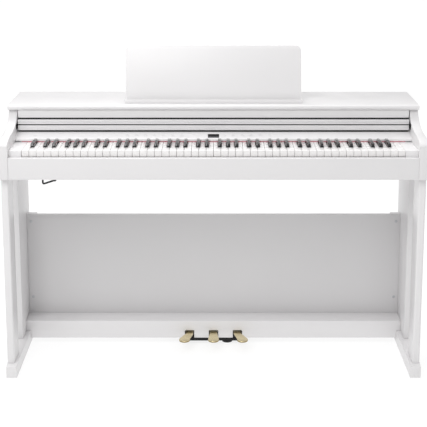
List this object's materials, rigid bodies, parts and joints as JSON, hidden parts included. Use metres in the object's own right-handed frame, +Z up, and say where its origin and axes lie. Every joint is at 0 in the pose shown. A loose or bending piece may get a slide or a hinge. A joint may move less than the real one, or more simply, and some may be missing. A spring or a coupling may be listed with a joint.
{
  "type": "digital piano",
  "caption": "Digital piano on a panelled stand, with full keyboard, sliding key cover, folding music rest and foot pedals.",
  "frame": {"origin": "on the floor at the middle of the bounding box", "axes": "+X to the player's right, +Y to the rear, +Z up; the keyboard faces -Y"},
  "size_m": [1.364, 0.468, 1.0652],
  "materials": {
    "white_board": "satin white lacquer on fibreboard",
    "white_key": "semi-gloss moulded",
    "black_key": "fine matt grain",
    "panel_plastic": "satin moulded",
    "display": "gloss window",
    "pedal_brass": "polished",
    "steel": "zinc plated",
    "black_metal": "black powder coat",
    "black_plastic": "moulded black",
    "circuit": "solder mask",
    "red_felt": "pressed wool felt"
  },
  "bodies": {
    "case": {"glide_pads": "black_plastic", "foot_left": "white_board", "foot_right": "white_board", "leg_left": "white_board", "leg_right": "white_board", "side_board_left": "white_board", "side_board_right": "white_board", "back_panel": "white_board", "panel_cleats": "white_board", "pedal_board": "white_board", "pedal_frame": "black_metal", "pedal_shaft": "steel", "keybed": "white_board", "arm_left": "white_board", "arm_right": "white_board", "keyslip": "white_board", "key_blocks": "white_board", "top_board": "white_board", "fascia": "white_board", "rear_board": "white_board", "control_panel": "panel_plastic", "display_window": "display", "control_circuit": "circuit", "main_circuit": "circuit", "speaker_drivers": "black_metal", "speaker_grilles": "black_metal", "key_frame": "black_plastic", "key_pivot_rail": "steel", "key_felts": "red_felt", "contact_strip": "circuit", "hammers": "black_plastic", "headphone_box": "black_plastic", "headphone_hook": "black_metal", "lid_rails": "black_plastic", "rest_ledge": "white_board", "rest_hinges": "steel", "assembly_screws": "steel"},
    "lid": {"lid_panel": "white_board", "lid_front_bar": "white_board"},
    "lid_roller": {"lid_shaft": "steel"},
    "rest": {"music_rest": "white_board"},
    "stay": {"rest_stay": "steel"},
    "pedal_left": {"pedal_left": "pedal_brass"},
    "pedal_middle": {"pedal_middle": "pedal_brass"},
    "pedal_right": {"pedal_right": "pedal_brass"},
    "adjuster": {"height_adjuster": "black_plastic"},
    "buttons": {"function_buttons": "panel_plastic"},
    "power": {"power_button": "panel_plastic"},
    "key_c": {"key_c": "white_key"},
    "key_c_sharp": {"key_c_sharp": "black_key"},
    "key_d": {"key_d": "white_key"},
    "key_d_sharp": {"key_d_sharp": "black_key"},
    "key_e": {"key_e": "white_key"},
    "key_f": {"key_f": "white_key"},
    "key_f_sharp": {"key_f_sharp": "black_key"},
    "key_g": {"key_g": "white_key"},
    "key_g_sharp": {"key_g_sharp": "black_key"},
    "key_a": {"key_a": "white_key"},
    "key_a_sharp": {"key_a_sharp": "black_key"},
    "key_b": {"key_b": "white_key"}
  },
  "joints": [
    {"name": "lid_slide", "type": "slide", "parent": "case", "child": "lid", "axis": [0, -0.9945, -0.1045], "range_m": [0, 0.18]},
    {"name": "lid_roll", "type": "hinge", "parent": "lid", "child": "lid_roller", "pos_m": [0, 0.21, 0.83554], "axis": [1, 0, 0], "range_deg": [0, 1300]},
    {"name": "rest_fold", "type": "hinge", "parent": "case", "child": "rest", "pos_m": [0, 0.032, 0.89], "axis": [-1, 0, 0], "range_deg": [0, 73.5]},
    {"name": "stay_fold", "type": "hinge", "parent": "rest", "child": "stay", "pos_m": [0, 0.05754, 0.9555], "axis": [1, 0, 0], "range_deg": [0, 140]},
    {"name": "pedal_left_press", "type": "hinge", "parent": "case", "child": "pedal_left", "pos_m": [0, 0.146, 0.041], "axis": [1, 0, 0], "range_deg": [0, 5.5], "stiffness_Nm_per_rad": 14, "springref_deg": -6.88},
    {"name": "pedal_middle_press", "type": "hinge", "parent": "case", "child": "pedal_middle", "pos_m": [0, 0.146, 0.041], "axis": [1, 0, 0], "range_deg": [0, 5.5], "stiffness_Nm_per_rad": 14, "springref_deg": -6.88},
    {"name": "pedal_right_press", "type": "hinge", "parent": "case", "child": "pedal_right", "pos_m": [0, 0.146, 0.041], "axis": [1, 0, 0], "range_deg": [0, 5.5], "stiffness_Nm_per_rad": 14, "springref_deg": -6.88},
    {"name": "adjuster_raise", "type": "slide", "parent": "case", "child": "adjuster", "axis": [0, 0, 1], "range_m": [0, 0.005]},
    {"name": "buttons_press", "type": "slide", "parent": "case", "child": "buttons", "axis": [0, 0.3162, -0.9487], "range_m": [0, 0.0006], "stiffness_N_per_m": 800, "springref_m": -0.001},
    {"name": "power_press", "type": "slide", "parent": "case", "child": "power", "axis": [0, 0.3162, -0.9487], "range_m": [0, 0.0006], "stiffness_N_per_m": 300, "springref_m": -0.001},
    {"name": "key_c_press", "type": "hinge", "parent": "case", "child": "key_c", "pos_m": [0, 0.016, 0.752], "axis": [1, 0, 0], "range_deg": [0, 2.5], "stiffness_Nm_per_rad": 40, "springref_deg": -5.73},
    {"name": "key_c_sharp_press", "type": "hinge", "parent": "case", "child": "key_c_sharp", "pos_m": [0, 0.016, 0.752], "axis": [1, 0, 0], "range_deg": [0, 2.5], "stiffness_Nm_per_rad": 40, "springref_deg": -5.73},
    {"name": "key_d_press", "type": "hinge", "parent": "case", "child": "key_d", "pos_m": [0, 0.016, 0.752], "axis": [1, 0, 0], "range_deg": [0, 2.5], "stiffness_Nm_per_rad": 40, "springref_deg": -5.73},
    {"name": "key_d_sharp_press", "type": "hinge", "parent": "case", "child": "key_d_sharp", "pos_m": [0, 0.016, 0.752], "axis": [1, 0, 0], "range_deg": [0, 2.5], "stiffness_Nm_per_rad": 40, "springref_deg": -5.73},
    {"name": "key_e_press", "type": "hinge", "parent": "case", "child": "key_e", "pos_m": [0, 0.016, 0.752], "axis": [1, 0, 0], "range_deg": [0, 2.5], "stiffness_Nm_per_rad": 40, "springref_deg": -5.73},
    {"name": "key_f_press", "type": "hinge", "parent": "case", "child": "key_f", "pos_m": [0, 0.016, 0.752], "axis": [1, 0, 0], "range_deg": [0, 2.5], "stiffness_Nm_per_rad": 40, "springref_deg": -5.73},
    {"name": "key_f_sharp_press", "type": "hinge", "parent": "case", "child": "key_f_sharp", "pos_m": [0, 0.016, 0.752], "axis": [1, 0, 0], "range_deg": [0, 2.5], "stiffness_Nm_per_rad": 40, "springref_deg": -5.73},
    {"name": "key_g_press", "type": "hinge", "parent": "case", "child": "key_g", "pos_m": [0, 0.016, 0.752], "axis": [1, 0, 0], "range_deg": [0, 2.5], "stiffness_Nm_per_rad": 40, "springref_deg": -5.73},
    {"name": "key_g_sharp_press", "type": "hinge", "parent": "case", "child": "key_g_sharp", "pos_m": [0, 0.016, 0.752], "axis": [1, 0, 0], "range_deg": [0, 2.5], "stiffness_Nm_per_rad": 40, "springref_deg": -5.73},
    {"name": "key_a_press", "type": "hinge", "parent": "case", "child": "key_a", "pos_m": [0, 0.016, 0.752], "axis": [1, 0, 0], "range_deg": [0, 2.5], "stiffness_Nm_per_rad": 40, "springref_deg": -5.73},
    {"name": "key_a_sharp_press", "type": "hinge", "parent": "case", "child": "key_a_sharp", "pos_m": [0, 0.016, 0.752], "axis": [1, 0, 0], "range_deg": [0, 2.5], "stiffness_Nm_per_rad": 40, "springref_deg": -5.73},
    {"name": "key_b_press", "type": "hinge", "parent": "case", "child": "key_b", "pos_m": [0, 0.016, 0.752], "axis": [1, 0, 0], "range_deg": [0, 2.5], "stiffness_Nm_per_rad": 40, "springref_deg": -5.73}
  ],
  "couplings": [
    {"joint": "lid_roll", "follows": "lid_slide", "rad_per_m": 125},
    {"joint": "stay_fold", "follows": "rest_fold", "ratio": 1.88}
  ]
}
